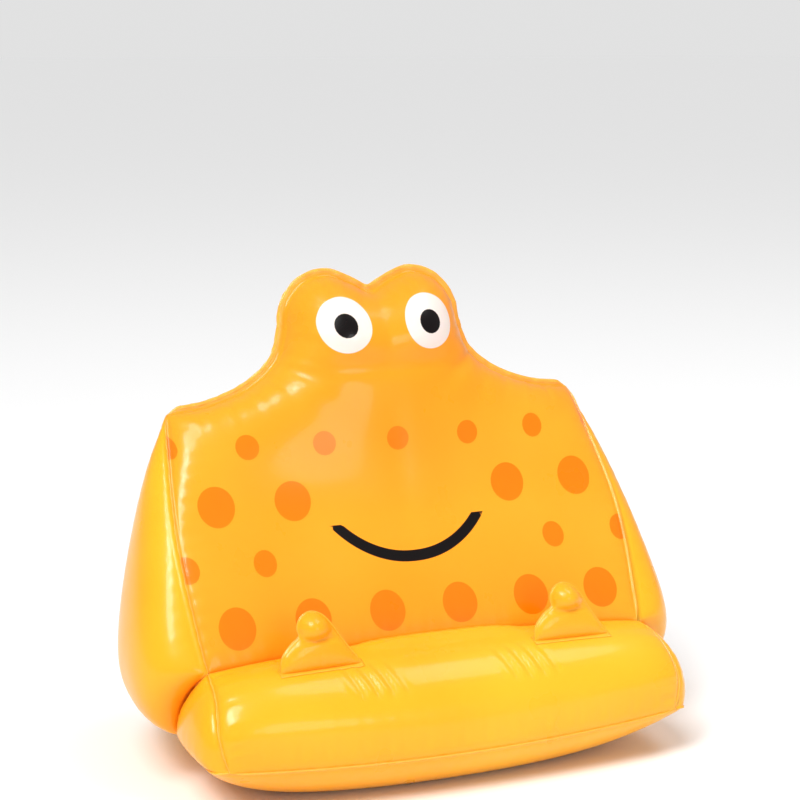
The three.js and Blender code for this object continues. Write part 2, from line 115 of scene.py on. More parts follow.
FACE_STEP = 2.4  # spacing of a panel's points
PANEL_STEP = 3.6
END_STEP = 2.6
CLAW_STEP = 1.3

FRAME_FILM = 0.5
# The crease is the furthest back in its middle, and the frame's web has half its film behind that.
SHIFT = np.array((
    0,
    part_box("crease_web")[1].y * 1000 - (CREASE_END[1] + CREASE_BOW + FRAME_FILM / 2),
    FRAME_FILM / 2,
))


def unit(v):
    return v / np.maximum(np.linalg.norm(v, axis=-1, keepdims=True), 1e-9)


def smooth(value, low, high):
    t = np.clip((value - low) / (high - low), 0, 1)
    return t * t * (3 - 2 * t)


def mix(a, b, t):
    return a + (b - a) * t


def waves(s, length, seed):
    """An uneven ripple along s, between -1 and 1, with crests about length apart."""
    phase = np.array((0.9, 2.3, 4.1)) * (seed + 1)
    return (
        0.5 * np.sin(2 * math.pi * s / length + phase[0])
        + 0.3 * np.sin(2 * math.pi * s / (length * 0.61) + phase[1])
        + 0.2 * np.sin(2 * math.pi * s / (length * 2.7) + phase[2])
    )


# ---------------------------------------------------------------- seams


def curve_through(points, per_span=40):
    """Centripetal Catmull-Rom curve through the points."""
    p = np.array(points, float)
    p = np.vstack((2 * p[0] - p[1], p, 2 * p[-1] - p[-2]))
    t = np.linspace(0, 1, per_span, endpoint=False)[:, None]
    parts = []
    for a, b, c, d in zip(p, p[1:], p[2:], p[3:]):
        da, db, dc = (math.sqrt(np.linalg.norm(v)) for v in (b - a, c - b, d - c))
        m = db * ((b - a) / da - (c - a) / (da + db) + (c - b) / db)
        n = db * ((c - b) / db - (d - b) / (db + dc) + (d - c) / dc)
        parts.append(b + m * t + (3 * (c - b) - 2 * m - n) * t**2 + (2 * (b - c) + m + n) * t**3)
    return np.vstack((*parts, p[-2:-1]))


def lengths(points):
    return np.concatenate(([0], np.cumsum(np.linalg.norm(np.diff(points, axis=0), axis=1))))


def sampled(values, s, place):
    """Vectors that are known at distances s, at other distances along the same line."""
    return np.stack([np.interp(place, s, values[:, i]) for i in range(3)], 1)


def along(points, distances):
    return sampled(points, lengths(points), distances)


class Seam:
    """A weld line: its points, the direction of its margin, and the direction across both films."""

    def __init__(self, points, outward, lip=LIP, shift=EDGE_SHIFT, ruffle=0.35, pucker=0.35):
        dense = curve_through(points)
        self.length = lengths(dense)[-1]
        self.s = np.linspace(0, self.length, round(self.length / SEAM_STEP) + 1)
        self.points = along(dense, self.s)
        self.tangent = unit(np.gradient(self.points, axis=0))
        hint = outward(self.tangent)
        self.out = unit(hint - (hint * self.tangent).sum(1)[:, None] * self.tangent)
        self.across = np.cross(self.tangent, self.out)
        self.lip, self.shift, self.ruffle, self.pucker = lip, shift, ruffle, pucker

    def mirrored(self):
        other = copy.copy(self)
        flip = np.array((-1, 1, 1))
        other.points, other.tangent, other.out = self.points * flip, self.tangent * flip, self.out * flip
        other.across = np.cross(other.tangent, other.out)
        return other

    def taper(self, place):
        """Share of margin and puckers at distances along the seam."""
        return mix(TAPER, 1, smooth(np.minimum(place, self.length - place), 0, TAPER_LENGTH))

    def margins(self, place):
        """Offsets from the weld line of the margin's two rows, at distances along the seam."""
        out = sampled(self.out, self.s, place)
        across = sampled(self.across, self.s, place)
        taper = self.taper(place)[:, None]
        ripple = waves(place, RIPPLE_LENGTH, self.length)[:, None] * taper * across * self.ruffle
        return [out * self.lip * share * taper + ripple * share**2 for share in MARGIN_SHARES]


def fixed(*direction):
    return lambda tangent: np.broadcast_to(np.array(direction, float), tangent.shape)


def upright(tangent):
    return np.stack((-tangent[:, 2], np.zeros(len(tangent)), tangent[:, 0]), 1)


def around(tangent):
    return np.stack((tangent[:, 1], -tangent[:, 0], np.full(len(tangent), -0.3)), 1)


def bowed(end, bow_y, bow_z):
    """Points from an end's mirror image to the end, bowed by the most in the middle."""
    half, y, z = end
    share = np.linspace(-1, 1, 9)
    return np.stack((share * half, y - bow_y * (1 - share**2), z - bow_z * (1 - share**2)), 1)


FACE_BEND = (6, -6, 0)  # how far the middle of the face's side lies off a straight line
face_middle = (np.array(CREASE_END) + SHOULDER) / 2 + FACE_BEND
SEAMS = {
    "head": Seam(
        [(x, SHOULDER[1] + HEAD_SLOPE * (z - SHOULDER[2]), z) for x, z in HEAD],
        upright, HEAD_LIP, ruffle=0.9, pucker=0.8,
    ),
    "crease": Seam(
        bowed(CREASE_END, -CREASE_BOW, -3.6), fixed(0, 0, -1), CREASE_LIP, CREASE_SHIFT,
        ruffle=0, pucker=0.15,
    ),
    "front": Seam(bowed(ROLL_FOOT, 8, 4), fixed(0, -0.8, -0.6), FRONT_LIP, ruffle=0.5),
    "rear": Seam(bowed(REAR_FOOT, -8, 0), fixed(0, 0.9, -0.4)),
}
RIGHT = {
    "face": Seam([CREASE_END, face_middle, SHOULDER], fixed(0.7, -0.57, 0.41)),
    "end": Seam([CREASE_END, (143, 57, 54), SIDE_FOOT], fixed(1, -0.25, 0.1)),
    "roll": Seam([CREASE_END, (138, 20, 66), (141, 4, 49), ROLL_FOOT], fixed(0.8, -0.5, 0.35), 1.3),
    "side": Seam([SIDE_FOOT, (143, 122, SEAM_Z), REAR_FOOT], fixed(1, 0, -0.3)),
    "corner": Seam([ROLL_FOOT, (144, 2, SEAM_Z), (146, 10, SEAM_Z), SIDE_FOOT], around, FRONT_LIP),
    "back": Seam([REAR_FOOT, (136, 160, 115), SHOULDER], fixed(0.7, 0.7, 0)),
}
SEAMS.update({f"{name} right": seam for name, seam in RIGHT.items()})
SEAMS.update({f"{name} left": seam.mirrored() for name, seam in RIGHT.items()})

# ---------------------------------------------------------------- panels

RING_CLEAR = 0.93  # share of its distance that a ring's point keeps from the whole loop
SPREAD_CLEAR = 0.55  # gap between the last ring and the even spread, as a share of the step
SOLVER_ROUNDS = 600
SOLVED = 1e-12


def seam_side(seam, backwards, centre):
    """One panel's side of a seam: its edge, two rows of its weld margin and its puckers' strength."""
    middle = len(seam.points) // 2
    sign = np.sign(seam.across[middle] @ (centre - seam.points[middle]))
    edge = seam.points + seam.across * sign * seam.shift
    for end in (0, -1):
        edge[end] = seam.points[end] + unit(centre - seam.points[end]) * CORNER_PULL
    rows = [edge + offset for offset in seam.margins(seam.s)]
    pucker = seam.pucker * seam.taper(seam.s)
    step = slice(None, None, -1 if backwards else 1)
    return [part[step] for part in (edge, *rows, pucker)]


def outline(sides, centre):
    """Closed edge of a panel, its two margin rows and the strength of its puckers."""
    parts = [seam_side(SEAMS[name], backwards, centre) for name, backwards in sides]
    for i, part in enumerate(parts):
        last = parts[i - 1]
        for row in (1, 2):
            part[row][0] = (part[row][0] + last[row][-1]) / 2
    return [np.concatenate([part[k][:-1] for part in parts]) for k in range(4)]


def inside(points, loop):
    """Which flat points lie inside the closed flat loop."""
    x, y = points[:, 0:1], points[:, 1:2]
    a, b = loop, np.roll(loop, -1, axis=0)
    spans = (a[:, 1] > y) != (b[:, 1] > y)
    rise = np.where(b[:, 1] == a[:, 1], 1e-9, b[:, 1] - a[:, 1])
    crossing = a[:, 0] + (y - a[:, 1]) / rise * (b[:, 0] - a[:, 0])
    return (spans & (x < crossing)).sum(1) % 2 == 1


def nearest(points, loop):
    """Distance from each point to the loop's points, and which of them is nearest."""
    found = [np.linalg.norm(chunk[:, None] - loop[None], axis=2) for chunk in np.array_split(points, 16)]
    gaps = np.vstack(found)
    return gaps.min(1), gaps.argmin(1)


def rings_inside(loop, rings):
    """Points in rings that follow a closed flat loop a little inside it."""
    ahead = unit(np.roll(loop, -1, axis=0) - np.roll(loop, 1, axis=0))
    inward = np.stack((-ahead[:, 1], ahead[:, 0]), 1)
    probe = loop[:1] + inward[:1] * 0.05 + ahead[:1] * 0.01
    if not inside(probe, loop)[0]:
        inward = -inward
    kept = []
    for ring in rings:
        points = loop + inward * ring
        points = points[inside(points, loop)]
        kept.append(points[nearest(points, loop)[0] > RING_CLEAR * ring])
    return np.vstack(kept)


def spread_inside(loop, step, clear):
    """An even spread of points inside a closed flat loop, further than clear from it."""
    low, high = loop.min(0), loop.max(0)
    columns = np.arange(low[0], high[0], step)
    rows = np.arange(low[1], high[1], step * math.sqrt(0.75))
    x, y = np.meshgrid(columns, rows)
    x = x + (np.arange(len(rows)) % 2)[:, None] * step / 2
    points = np.stack((x.ravel(), y.ravel()), 1)
    points = points[inside(points, loop)]
    return points[nearest(points, loop)[0] > clear]


def filled(loop, step, rings=(0.9, 2.2)):
    """Flat points and triangles inside a closed flat loop: rings close to it, then an even spread."""
    spread = spread_inside(loop, step, rings[-1] + SPREAD_CLEAR * step)
    points = np.vstack((loop, rings_inside(loop, rings), spread))
    count = len(loop)
    result = delaunay_2d_cdt([Vector(p) for p in points], [], [list(range(count))], 1, 1e-5)
    source = [origins[0] if origins else -1 for origins in result[3]]
    triangles = [[source[i] for i in face] for face in result[2]]
    triangles = np.array([t for t in triangles if min(t) >= 0 and len(t) == 3])
    used = np.unique(triangles)
    used = np.concatenate((np.arange(count), used[used >= count]))
    place = np.full(len(points), -1)
    place[used] = np.arange(len(used))
    return points[used], place[triangles]


def with_margin(points, triangles, rows, share):
    """Adds two rows of weld margin round a sheet whose first points are its edge.

    Gives the points, the faces, and each point's share of the margin's look.
    """
    total, count = len(points), len(rows[0])
    faces = triangles.tolist()
    pairs = {(t[i], t[(i + 1) % 3]) for t in faces for i in range(3)}
    ahead = (0, 1) in pairs
    for inner, outer in ((0, total), (total, total + count)):
        for i in range(count):
            j = (i + 1) % count
            quad = [inner + i, outer + i, outer + j, inner + j]
            faces.append(quad if ahead else quad[::-1])
    margin = np.concatenate((np.zeros(total), np.full(2 * count, share)))
    return np.vstack((points, *rows)), faces, margin


class Membrane:
    """A flat sheet of triangles, fixed along its edge, on which a load can be solved."""

    def __init__(self, flat, triangles, edge_count):
        a, b, c = (flat[triangles[:, i]] for i in range(3))
        self.count, self.edge_count = len(flat), edge_count
        cross = np.abs((b - a)[:, 0] * (c - a)[:, 1] - (b - a)[:, 1] * (c - a)[:, 0])
        cross = np.maximum(cross, 1e-6)
        pairs, weights = [], []
        for i, j, k in ((0, 1, 2), (1, 2, 0), (2, 0, 1)):
            p, q, r = (flat[triangles[:, n]] for n in (i, j, k))
            pairs.append(triangles[:, (i, j)])
            weights.append(((p - r) * (q - r)).sum(1) / cross / 2)
        self.i, self.j = np.vstack(pairs).T
        self.w = np.maximum(np.concatenate(weights), 1e-4)
        self.area = sum(np.bincount(triangles[:, n], cross / 6, self.count) for n in range(3))
        self.total = np.bincount(self.i, self.w, self.count) + np.bincount(self.j, self.w, self.count)

    def pull(self, u):
        back = np.bincount(self.i, self.w * u[self.j], self.count)
        return self.total * u - back - np.bincount(self.j, self.w * u[self.i], self.count)

    def solve(self, edge, load=0.0, hold=0.0):
        """Values of -laplace(u) + hold * u = load inside, with these values on the edge."""
        free = np.arange(self.count) >= self.edge_count
        u = np.where(free, float(np.mean(edge)), 0.0)
        u[: self.edge_count] = edge
        residual = (load * self.area - self.pull(u) - hold * self.area * u) * free
        scale = self.total + hold * self.area
        step = residual / scale
        ready = step.copy()
        power = residual @ ready
        for _ in range(SOLVER_ROUNDS):
            if power < SOLVED:
                break
            moved = (self.pull(step) + hold * self.area * step) * free
            stride = power / (step @ moved)
            u += stride * step
            residual -= stride * moved
            ready = residual / scale
            fresh = residual @ ready
            step = ready + fresh / power * step
            power = fresh
        return u


class Panel:
    """A panel of film: a smooth sheet through its edge, and how far air pushes each point, from 0 to 1."""

    def __init__(self, sides, centre, plane, step, reach, blunt=0.58):
        self.edge, self.low, self.high, self.pucker = outline(sides, np.array(centre, float))
        flat, self.triangles = filled(self.edge[:, plane], step)
        count = len(self.edge)
        sheet = Membrane(flat, self.triangles, count)
        self.points = np.stack([sheet.solve(self.edge[:, i]) for i in range(3)], 1)
        load = 1 / reach**2
        self.air = np.clip(sheet.solve(np.zeros(count), load, load), 0, 1) ** blunt
        self.gap, self.near = nearest(self.points, self.edge)

    def push(self, direction, height):
        """Moves each point by the air's share of a height, with puckers close to the welds."""
        direction = np.asarray(direction, float)
        moved = self.points + direction * (height * self.air)[:, None]
        s = lengths(self.edge)[self.near]
        fade = np.exp(-self.gap / PUCKER_FADE) * self.gap / (self.gap + PUCKER_RISE)
        depth = self.pucker[self.near] * fade * waves(s, PUCKER_LENGTH, len(self.edge))
        self.points = moved + unit(direction) * depth[:, None] * PUCKER_DEPTH

    def mesh(self):
        return with_margin(self.points, self.triangles, (self.low, self.high), 1.0)


# ---------------------------------------------------------------- pieces


def add_piece(name, points, faces, body, nodes, material, values=None, thick=FILM, placed=False):
    """A mesh object from points in millimetres, riding on a body in place of CAD nodes."""
    mesh = bpy.data.meshes.new(name)
    place = points if placed else (points + SHIFT) / 1000
    mesh.from_pydata([Vector(p) for p in place], [], faces)
    mesh.validate()
    mesh.shade_smooth()
    for key, data in (values or {}).items():
        layer = mesh.attributes.new(key, "FLOAT", "POINT")
        layer.data.foreach_set("value", np.asarray(data, np.float32))
    mesh.materials.append(material)
    obj = bpy.data.objects.new(name, mesh)
    bpy.context.collection.objects.link(obj)
    if thick:
        shell = obj.modifiers.new("film", "SOLIDIFY")
        shell.thickness = thick / 1000
        shell.offset = -1
    if body:
        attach(obj, body)
    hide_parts(*nodes)
    return obj


def outwards(points, faces, away):
    """Turns every face over if the sheet faces its inside."""
    a, b, c = (points[[face[i] for face in faces]] for i in range(3))
    facing = (np.cross(b - a, c - a) * np.asarray(away, float)).sum()
    return faces if facing > 0 else [face[::-1] for face in faces]


def add_panel(name, panel, away, material, extra=None, keep=None):
    """One of the cushion's panels. Extra gives more values for each point, and keep says which stay."""
    points, faces, margin = panel.mesh()
    if keep is not None:
        keeping = keep(points)
        faces = [face for face in faces if all(keeping[i] for i in face)]
    faces = outwards(points, faces, away)
    values = {"margin": margin, **(extra(points) if extra else {})}
    obj = add_piece(name + "_film", points, faces, "cushion", [name], material, values)
    return obj


# ---------------------------------------------------------------- printed face


def disc(x, z, cx, cz, radius):
    """Distance inside a disc's edge, in millimetres."""
    return radius - np.hypot(x - cx, z - cz)


DOT_PITCH = 46  # polka dots in staggered rows, small and large in turn
DOT_ROW = 31
DOT_SMALL = 7
DOT_LARGE = 11
DOTS_TOP = 215
SMILE_ROOM = (84, 130, 34)  # half width, middle and half height of the space left around the smile
SMILE_Z = 182  # the smile is the low part of a circle's line
SMILE_RADIUS = 62
SMILE_HALF = 3
SMILE_TOP = 140
EYE_X = 27
EYE_Z = 253
EYE_RADIUS = 16
PUPIL_RADIUS = 7


def polka_dots(x, z):
    """Distance inside the nearest dot. The dots leave room for the smile and the eyes."""
    row = np.round(z / DOT_ROW)
    odd = row % 2
    cx = (np.round(x / DOT_PITCH - odd / 2) + odd / 2) * DOT_PITCH
    cz = row * DOT_ROW
    wide, middle, tall = SMILE_ROOM
    clear = (np.hypot(cx / wide, (cz - middle) / tall) > 1) & (cz < DOTS_TOP)
    return np.where(clear, disc(x, z, cx, cz, mix(DOT_SMALL, DOT_LARGE, odd)), -1.0)


def printed(points):
    """How far each point lies inside each printed shape, in millimetres."""
    x, z = points[:, 0], points[:, 2]
    line = SMILE_HALF - np.abs(np.hypot(x, z - SMILE_Z) - SMILE_RADIUS)
    return {
        "dot": polka_dots(x, z),
        "white": disc(np.abs(x), z, EYE_X, EYE_Z, EYE_RADIUS),
        "pupil": disc(np.abs(x), z, EYE_X, EYE_Z, PUPIL_RADIUS),
        "smile": np.minimum(line, SMILE_TOP - z),
    }


# ---------------------------------------------------------------- materials

ORANGE = (1.0, 0.30, 0.008, 1)
# The next colour is a lighter painted sheen, which noise spreads at random over the printed film.
SHEEN_GOLD = (1.0, 0.38, 0.02, 1)
DEEP = (1.0, 0.195, 0.0, 1)
PALE = (0.84, 0.72, 0.66, 1)
INK = (0.002, 0.0, 0.0, 1)
MARGIN = (1.0, 0.52, 0.11, 1)
PRINT_BLUR = 0.15  # half the width of a printed edge
FILM_LOOK = {
    "Subsurface Weight": 0.12, "Subsurface Radius": (0.012, 0.004, 0.001), "Coat Weight": 0.28,
    "Coat Roughness": 0.1, "IOR": 1.4, "Specular IOR Level": 0.28,
}
PLASTIC_LOOK = {
    "Base Color": (0.95, 0.84, 0.70, 1), "Subsurface Weight": 0.25,
    "Subsurface Radius": (0.004, 0.003, 0.002),
}
FLOOR_LOOK = {"Base Color": (0.93, 0.93, 0.93, 1), "Roughness": 0.85}


def node(tree, kind, **settings):
    made = tree.nodes.new(kind)
    for key, value in settings.items():
        setattr(made, key, value)
    return made


def noise(tree, scale, detail=2.0):
    """Noise fixed to the object."""
    place = node(tree, "ShaderNodeTexCoord")
    texture = node(tree, "ShaderNodeTexNoise")
    texture.inputs["Scale"].default_value = scale
    texture.inputs["Detail"].default_value = detail
    tree.links.new(place.outputs["Object"], texture.inputs["Vector"])
    return texture.outputs["Fac"]


def ranged(tree, source, low, high, to_low=0.0, to_high=1.0):
    ramp = node(tree, "ShaderNodeMapRange")
    tree.links.new(source, ramp.inputs["Value"])
    for key, value in zip(("From Min", "From Max", "To Min", "To Max"), (low, high, to_low, to_high)):
        ramp.inputs[key].default_value = value
    return ramp.outputs["Result"]


def blended(tree, factor, below, above):
    """Colour node that goes from below to above. Each is a colour or another node's output."""
    made = node(tree, "ShaderNodeMix", data_type="RGBA")
    tree.links.new(factor, made.inputs["Factor"])
    for key, value in (("A", below), ("B", above)):
        socket = [s for s in made.inputs if s.name == key and s.type == "RGBA"][0]
        if isinstance(value, tuple):
            socket.default_value = value
        else:
            tree.links.new(value, socket)
    return [s for s in made.outputs if s.type == "RGBA"][0]


def attribute(tree, name):
    return node(tree, "ShaderNodeAttribute", attribute_name=name).outputs["Fac"]


def new_material(name, look):
    """A material whose shader has a look's settings, with its node tree and its shader."""
    made = bpy.data.materials.new(name)
    made.use_nodes = True
    shader = made.node_tree.nodes["Principled BSDF"]
    for key, value in look.items():
        shader.inputs[key].default_value = value
    return made, made.node_tree, shader


def film_material(name, colour, sheen_mottle, prints=()):
    """Glossy vinyl film, mottled at random between its colour and a lighter painted sheen. Prints are pairs
    of a shape's name and its colour.
    """
    made, tree, shader = new_material(name, FILM_LOOK)
    # The second colour of the mottle is a painted sheen, spread at random by noise.
    ink = blended(tree, ranged(tree, noise(tree, 7.0), 0.3, 0.7), colour, sheen_mottle)
    for shape, tint in prints:
        ink = blended(tree, ranged(tree, attribute(tree, shape), -PRINT_BLUR, PRINT_BLUR), ink, tint)
    ink = blended(tree, ranged(tree, attribute(tree, "margin"), 0.2, 0.9, 0, 0.45), ink, MARGIN)
    tree.links.new(ink, shader.inputs["Base Color"])
    rough = ranged(tree, noise(tree, 30.0, 4.0), 0.3, 0.7, 0.26, 0.36)
    tree.links.new(rough, shader.inputs["Roughness"])
    bump = node(tree, "ShaderNodeBump")
    bump.inputs["Strength"].default_value = 0.12
    bump.inputs["Distance"].default_value = 0.0012
    tree.links.new(noise(tree, 55.0, 3.0), bump.inputs["Height"])
    tree.links.new(bump.outputs["Normal"], shader.inputs["Normal"])
    return made


def plastic_material():
    made, tree, shader = new_material("valve plastic", PLASTIC_LOOK)
    tree.links.new(ranged(tree, noise(tree, 60.0), 0.3, 0.7, 0.32, 0.45), shader.inputs["Roughness"])
    return made


PRINTS = [("dot", DEEP), ("white", PALE), ("pupil", INK), ("smile", INK)]
# Each film's second colour is a lighter painted sheen, which the noise mottles at random.
film = film_material("film", (1.0, 0.37, 0.008, 1), (1.0, 0.47, 0.02, 1))
face_film = film_material("printed film", ORANGE, SHEEN_GOLD, PRINTS)
claw_film = film_material("claw film", (1.0, 0.36, 0.008, 1), (1.0, 0.44, 0.02, 1))
valve_plastic = plastic_material()

# ---------------------------------------------------------------- the cushion's panels

BOOK_TOP = 138  # heights at which the part for a book, the neck and the head's swelling end
NECK = 215
BROW = 245
EYE_BUMP = (27, 252)
EYE_SPREAD = 600
TIE_DENT = 0.7  # the centre tie holds the face back along its middle
TIE_DENT_HALF = 10
LEAN_PUSH = np.array((0, -0.81, 0.58))
HEAD_PUSH = np.array((0, -0.98, HEAD_SLOPE))
VALVE_DISH = (15, 44)  # the film is level inside the first distance and free outside the second
VALVE_HOLE = 8.2
BASE_SOFT = 1.3  # how softly the underside flattens on what it stands on

# Folds in the film that run from a weld: start x and z, direction in degrees, length, width and depth.
FOLDS = [
    (-62, 226, -38, 34, 3.4, 1.5), (-70, 221, -62, 30, 3.6, 1.3), (-57, 240, -12, 24, 3, 1.0),
    (60, 226, 218, 34, 3.4, 1.5), (70, 219, 240, 30, 3.6, 1.3), (56, 240, 192, 24, 3, 1.0),
    (-129, 196, -40, 30, 4, 0.9), (128, 196, 222, 30, 4, 0.9),
]


def folded(x, z):
    """Depth of the folds at each point of the face."""
    depth = np.zeros(x.shape)
    for start_x, start_z, angle, length, width, deep in FOLDS:
        ahead = np.array((math.cos(math.radians(angle)), math.sin(math.radians(angle))))
        forward = (x - start_x) * ahead[0] + (z - start_z) * ahead[1]
        sideways = (z - start_z) * ahead[0] - (x - start_x) * ahead[1]
        spread = width * (1 + np.clip(forward, 0, None) / length)
        fade = smooth(forward, -3, 6) * np.exp(-((forward / length) ** 2))
        depth += deep * fade * np.exp(-((sideways / spread) ** 2))
    return depth


def face_height(x, z):
    """How far air pushes each point of the face."""
    bump_x, bump_z = EYE_BUMP
    eyes = np.exp(-((np.abs(x) - bump_x) ** 2 + (z - bump_z) ** 2) / EYE_SPREAD)
    height = mix(FACE_LOW, FACE_HIGH, smooth(z, BOOK_TOP, NECK)) + HEAD_BULGE * smooth(z, NECK, BROW)
    height += EYE_BULGE * eyes
    tied = smooth(z, 85, 125) * (1 - smooth(z, 180, NECK))
    height -= TIE_DENT * np.exp(-((x / TIE_DENT_HALF) ** 2)) * tied
    return height - folded(x, z)


def blow_face():
    sides = [("crease", False), ("face right", False), ("head", True), ("face left", True)]
    panel = Panel(sides, (0, 108, 162), [0, 2], FACE_STEP, reach=15)
    x, z = panel.points[:, 0], panel.points[:, 2]
    turn = smooth(z, 190, 240)[:, None]
    panel.push(unit(mix(LEAN_PUSH, HEAD_PUSH, turn)), face_height(x, z))
    return add_panel("face_panel", panel, (0, -1, 0.2), face_film, printed)


def from_valve(points):
    """Distance of each point from the valve's axis, and its height along that axis."""
    offset = points - VALVE_CENTRE
    height = offset @ VALVE_AXIS
    return np.linalg.norm(offset - height[:, None] * VALVE_AXIS, axis=1), height


def blow_back():
    sides = [("rear", False), ("back right", False), ("head", True), ("back left", True)]
    panel = Panel(sides, VALVE_CENTRE, [0, 2], PANEL_STEP, reach=22)
    panel.push(VALVE_AXIS, BACK_BULGE)
    radius, height = from_valve(panel.points)
    seated = 1 - smooth(radius, *VALVE_DISH)
    panel.points += (seated * (VALVE_SEAT - height))[:, None] * VALVE_AXIS
    return add_panel(
        "back_panel", panel, (0, 1, 0), film, keep=lambda points: from_valve(points)[0] > VALVE_HOLE
    )


def blow_gusset(side, sign):
    sides = [(f"face {side}", True), (f"end {side}", False), (f"side {side}", False), (f"back {side}", False)]
    panel = Panel(sides, (sign * 139, 112, 92), [1, 2], PANEL_STEP, reach=19)
    low = 1 - smooth(panel.points[:, 2], 50, 170)
    direction = np.stack((np.full(len(low), sign), -0.5 * low, np.zeros(len(low))), 1)
    panel.push(direction, GUSSET_BULGE * mix(0.65, 1, low))
    add_panel(f"gusset_{side}", panel, (sign, 0, 0), film)


def blow_end(side, sign):
    sides = [(f"roll {side}", False), (f"corner {side}", False), (f"end {side}", True)]
    panel = Panel(sides, (sign * 142, 36, 46), [1, 2], END_STEP, reach=12)
    panel.push((sign, -0.2, 0), END_BULGE)
    add_panel(f"roll_end_{side}", panel, (sign, 0, 0), film)


def blow_base():
    sides = [
        ("front", False), ("corner right", False), ("side right", False), ("rear", True),
        ("side left", True), ("corner left", True),
    ]
    panel = Panel(sides, (0, 90, SEAM_Z), [0, 1], PANEL_STEP, reach=42, blunt=0.72)
    panel.push((0, 0, -1), BASE_BULGE)
    below = panel.points[len(panel.edge):]
    below[:, 2] = BASE_SOFT * np.log1p(np.exp(below[:, 2] / BASE_SOFT))
    return add_panel("base_panel", panel, (0, 0, -1), film)


# ---------------------------------------------------------------- the roll

ROLL_SWELL = unit(np.array((0, -0.646, 0.763)))
ROLL_CENTRE = np.array((0, 0, 60.0))
ROLL_ROWS = 57
ROLL_COLUMNS = 301
ROLL_CROWD = 0.82  # how much closer the columns are at the roll's ends
ROLL_HALF = 138
CREASES = [(-1, -50), (1, 43)]  # side and place of the small creases beside each claw's foot
CREASE_Y = 4
CREASE_SLANT = 0.45
CREASE_LENGTH = 9
CREASE_DEPTH = 0.8
FOOT_X = 77.7  # the claws' feet press a dent into the roll
FOOT_DENT = 0.3
CREST = 3.6  # the roll's middle stands up behind its top


def roll_shares(u, v):
    """The seams round the roll, each with the shares of its length where the grid meets it."""
    return {"crease": u, "front": u, "roll left": v, "roll right": v}


def roll_surface(u, v):
    """Points of the roll: u runs across from left to right, v from the crease down to the front seam."""
    edges = {}
    for key, share in roll_shares(u, v).items():
        edge = seam_side(SEAMS[key], False, ROLL_CENTRE)[0]
        edges[key] = along(edge, share * lengths(edge)[-1])
    uu, vv = u[None, :, None], v[:, None, None]
    top, low = edges["crease"], edges["front"]
    left, right = edges["roll left"], edges["roll right"]
    corners = mix(mix(top[0], top[-1], uu), mix(low[0], low[-1], uu), vv)
    points = mix(top[None], low[None], vv) + mix(left[:, None], right[:, None], uu) - corners
    ends = np.sqrt(np.maximum(0, 1 - np.abs(2 * uu - 1) ** 7))
    tall = np.sqrt(np.maximum(0, 1 - (2 * vv - 1) ** 2))
    return points + ROLL_SWELL * ROLL_BULGE * ends * tall


def claw_dents(x, y, down):
    """The small creases beside each claw's foot and the dent under it. Down runs from 0 to 100."""
    height = np.zeros(x.shape)
    for sign, middle in CREASES:
        slant = x - middle + CREASE_SLANT * (y - CREASE_Y)
        band = np.exp(-((slant / 16) ** 4) - ((y - CREASE_Y) / 11) ** 4) * (down < 60)
        height += CREASE_DEPTH * band * np.sin(2 * math.pi * slant / CREASE_LENGTH)
        foot = np.exp(-(((x - sign * FOOT_X) / 27) ** 4) - ((down - 30) / 9) ** 2)
        height -= FOOT_DENT * foot
    return height


def roll_dents(points, v):
    """How far each point of the roll is pushed out by creases, puckers and the pull of the claws."""
    x, y = points[:, :, 0], points[:, :, 1]
    down = v[:, None] * 100
    up = 100 - down
    height = claw_dents(x, y, down)
    height += CREST * np.exp(-((x / 52) ** 6)) * np.exp(-(((down - 9) / 8) ** 2))
    near_front = np.exp(-up / 9) * up / (up + 3)
    near_back = np.exp(-down / 9) * down / (down + 3)
    height += 0.7 * near_front * waves(x, 12, 5) + 0.5 * near_back * waves(x, 10, 9)
    ends = np.maximum(ROLL_HALF - np.abs(x), 0)
    height += 0.8 * np.exp(-ends / 7) * waves(down * 0.9 + np.sign(x) * 7, 11, 3)
    edge = np.minimum(np.minimum(down, up) / 6, ends / 5)
    return height * np.clip(edge, 0, 1)


def grid_faces(rows, columns):
    index = np.arange(rows * columns).reshape(rows, columns)
    quads = np.stack((index[:-1, :-1], index[:-1, 1:], index[1:, 1:], index[1:, :-1]), -1)
    return quads.reshape(-1, 4).tolist()


def roll_margin(points, rims):
    """The roll's grid with two more rows of weld margin on every side."""
    rows, columns = points.shape[:2]
    wide = np.zeros((rows + 4, columns + 4, 3))
    wide[2:-2, 2:-2] = points
    for depth in (0, 1):
        wide[1 - depth, 2:-2] = points[0] + rims["crease"][depth]
        wide[depth - 2, 2:-2] = points[-1] + rims["front"][depth]
        wide[2:-2, 1 - depth] = points[:, 0] + rims["roll left"][depth]
        wide[2:-2, depth - 2] = points[:, -1] + rims["roll right"][depth]
    ends = ((slice(0, 2), 2), (slice(-2, None), -3))
    for over, row in ends:
        for across, column in ends:
            corner = wide[over, column][:, None] + wide[row, across][None]
            wide[over, across] = corner - wide[row, column]
    return wide


